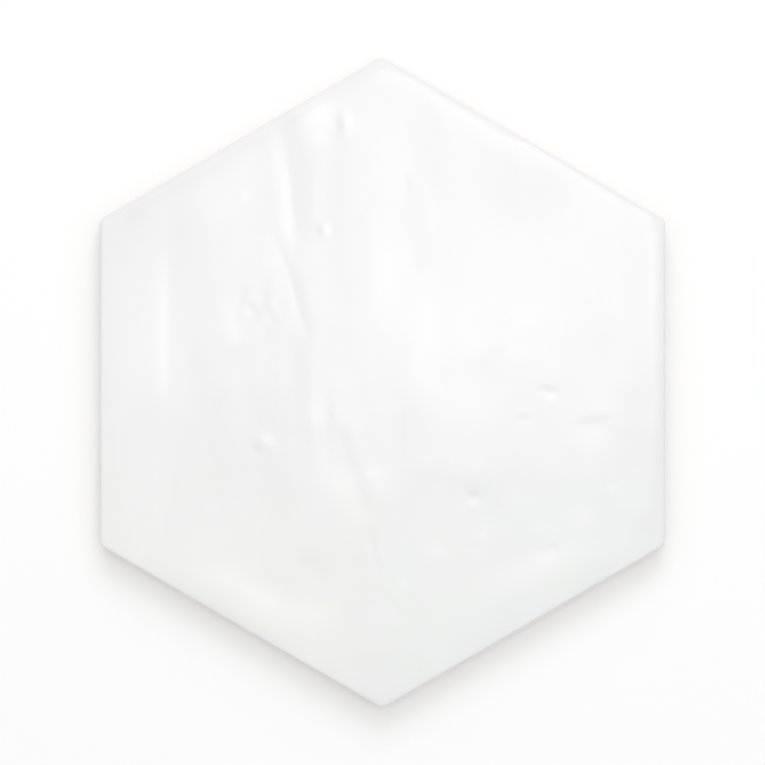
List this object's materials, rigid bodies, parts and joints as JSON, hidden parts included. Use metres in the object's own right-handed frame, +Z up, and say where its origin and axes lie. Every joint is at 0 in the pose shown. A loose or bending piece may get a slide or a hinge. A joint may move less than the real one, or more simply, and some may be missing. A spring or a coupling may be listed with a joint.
{
  "type": "hexagon floor tile",
  "caption": "Flat regular hexagon floor tile with a glossy white, gently uneven glazed face, cushioned edges, rounded corners and a honeycomb keyed back.",
  "frame": {"origin": "centre of the back, in the plane of its rim and ribs", "axes": "+Z up out of the glazed face, +X toward the middle of a side, +Y toward a corner"},
  "size_m": [0.175, 0.2012, 0.009],
  "materials": {
    "glazed_porcelain": "gloss"
  },
  "bodies": {
    "root": {"tile": "glazed_porcelain"}
  },
  "joints": []
}
